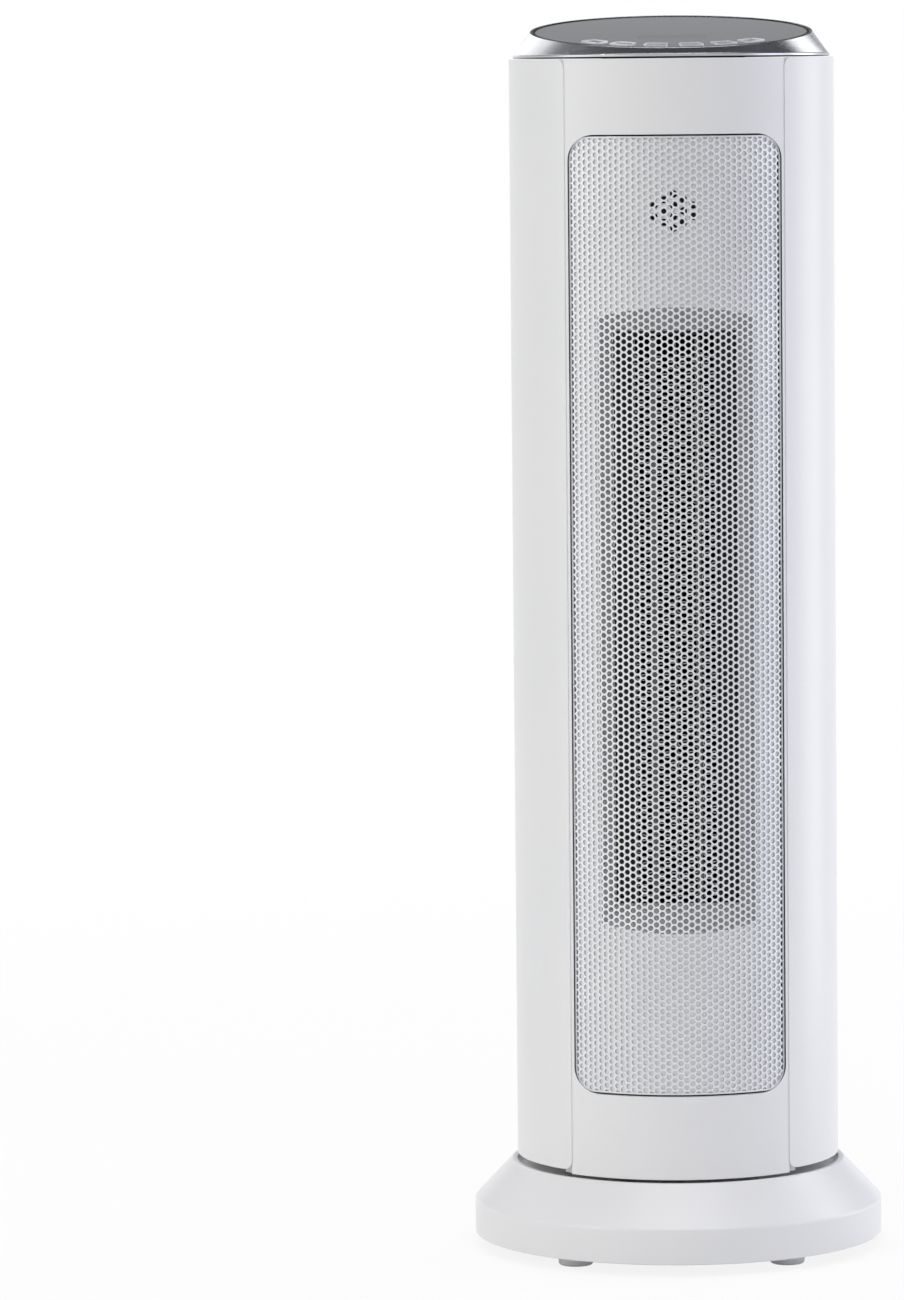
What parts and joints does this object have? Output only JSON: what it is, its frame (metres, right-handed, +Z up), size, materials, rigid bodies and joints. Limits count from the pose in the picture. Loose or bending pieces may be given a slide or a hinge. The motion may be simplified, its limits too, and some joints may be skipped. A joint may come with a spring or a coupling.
{
  "type": "tower heater",
  "caption": "Oscillating ceramic tower fan heater on a round base, with perforated front grille, slotted rear cover, slanted control lid, rocker switch and cord.",
  "frame": {"origin": "on the floor at the centre of the round base", "axes": "+Z up, -Y towards the front grille, +X to the right when seen from the front"},
  "size_m": [0.19, 0.3582, 0.5725],
  "materials": {
    "white_plastic": "semi-gloss moulded ABS",
    "foot_rubber": "matte",
    "steel": "plain",
    "acetal": "self-lubricating plastic",
    "black_plastic": "matte",
    "grille_metal": "fine perforated sheet, light silver",
    "element_aluminium": "bare fins",
    "circuit_board": "solder mask",
    "red_plastic": "translucent red",
    "dark_screw": "blackened",
    "satin_ring": "satin silver",
    "grey_gloss": "high gloss",
    "display_black": "smoked window",
    "cord_white": "smooth PVC sheath"
  },
  "bodies": {
    "base": {"base_shell": "white_plastic", "base_plate": "white_plastic", "foot_1": "foot_rubber", "foot_2": "foot_rubber", "foot_3": "foot_rubber", "foot_4": "foot_rubber", "oscillation_motor": "steel", "tip_switch": "black_plastic", "bearing_ring": "acetal", "strain_relief": "black_plastic", "cord_run": "cord_white", "cord_coil": "cord_white", "cord_lead": "cord_white", "plug": "cord_white", "plug_pin_1": "steel", "plug_pin_2": "steel"},
    "crank": {"crank": "acetal"},
    "tip_plunger": {"tip_plunger": "acetal"},
    "tower": {"swivel_neck": "acetal", "crank_arm": "acetal", "tower_floor": "white_plastic", "casing": "white_plastic", "front_panel": "white_plastic", "front_grille": "grille_metal", "heater_frame": "white_plastic", "ir_receiver": "black_plastic", "ceramic_element": "element_aluminium", "blower_duct": "black_plastic", "rear_cover": "white_plastic", "switch_bezel": "black_plastic", "power_board": "circuit_board", "thermal_cutout": "steel", "fan_motor": "steel", "upper_bearing": "acetal", "rear_screw_1": "dark_screw", "rear_screw_2": "dark_screw", "rear_screw_3": "dark_screw", "rear_screw_4": "dark_screw", "rear_screw_5": "dark_screw", "rear_screw_6": "dark_screw", "rear_screw_7": "dark_screw", "rear_screw_8": "dark_screw", "plate_screw_1": "dark_screw", "plate_screw_2": "dark_screw", "lid_ring": "satin_ring", "control_panel": "grey_gloss", "control_board": "circuit_board", "display_window": "display_black"},
    "impeller": {"impeller": "black_plastic"},
    "rocker": {"rocker": "red_plastic"},
    "key_1": {"key_1": "grey_gloss"},
    "key_2": {"key_2": "grey_gloss"},
    "key_3": {"key_3": "grey_gloss"},
    "key_4": {"key_4": "grey_gloss"},
    "key_5": {"key_5": "grey_gloss"},
    "key_6": {"key_6": "grey_gloss"}
  },
  "joints": [
    {"name": "oscillation", "type": "hinge", "parent": "base", "child": "tower", "pos_m": [0, 0, 0.04], "axis": [0, 0, 1], "range_deg": [-30, 30]},
    {"name": "crank_turn", "type": "hinge", "parent": "base", "child": "crank", "pos_m": [0, -0.04199, 0.027], "axis": [0, 0, 1], "range_deg": [-102, 102]},
    {"name": "tip_over", "type": "slide", "parent": "base", "child": "tip_plunger", "axis": [0, 0, -1], "range_m": [0, 0.004], "stiffness_N_per_m": 60, "springref_m": 0.006},
    {"name": "blower_spin", "type": "hinge", "parent": "tower", "child": "impeller", "pos_m": [0, 0.024, 0.305], "axis": [0, 0, 1], "continuous": true},
    {"name": "mains_rocker", "type": "hinge", "parent": "tower", "child": "rocker", "pos_m": [0, 0.066, 0.083], "axis": [0, 0, 1], "range_deg": [-16, 0]},
    {"name": "press_key_1", "type": "slide", "parent": "tower", "child": "key_1", "axis": [0, 0.1222, -0.9925], "range_m": [0, 0.0008], "stiffness_N_per_m": 300, "springref_m": -0.0005},
    {"name": "press_key_2", "type": "slide", "parent": "tower", "child": "key_2", "axis": [0, 0.1222, -0.9925], "range_m": [0, 0.0008], "stiffness_N_per_m": 300, "springref_m": -0.0005},
    {"name": "press_key_3", "type": "slide", "parent": "tower", "child": "key_3", "axis": [0, 0.1222, -0.9925], "range_m": [0, 0.0008], "stiffness_N_per_m": 300, "springref_m": -0.0005},
    {"name": "press_key_4", "type": "slide", "parent": "tower", "child": "key_4", "axis": [0, 0.1222, -0.9925], "range_m": [0, 0.0008], "stiffness_N_per_m": 300, "springref_m": -0.0005},
    {"name": "press_key_5", "type": "slide", "parent": "tower", "child": "key_5", "axis": [0, 0.1222, -0.9925], "range_m": [0, 0.0008], "stiffness_N_per_m": 300, "springref_m": -0.0005},
    {"name": "press_key_6", "type": "slide", "parent": "tower", "child": "key_6", "axis": [0, 0.1222, -0.9925], "range_m": [0, 0.0008], "stiffness_N_per_m": 300, "springref_m": -0.0005}
  ],
  "couplings": [
    {"joint": "crank_turn", "follows": "oscillation", "ratio": 3.4}
  ]
}
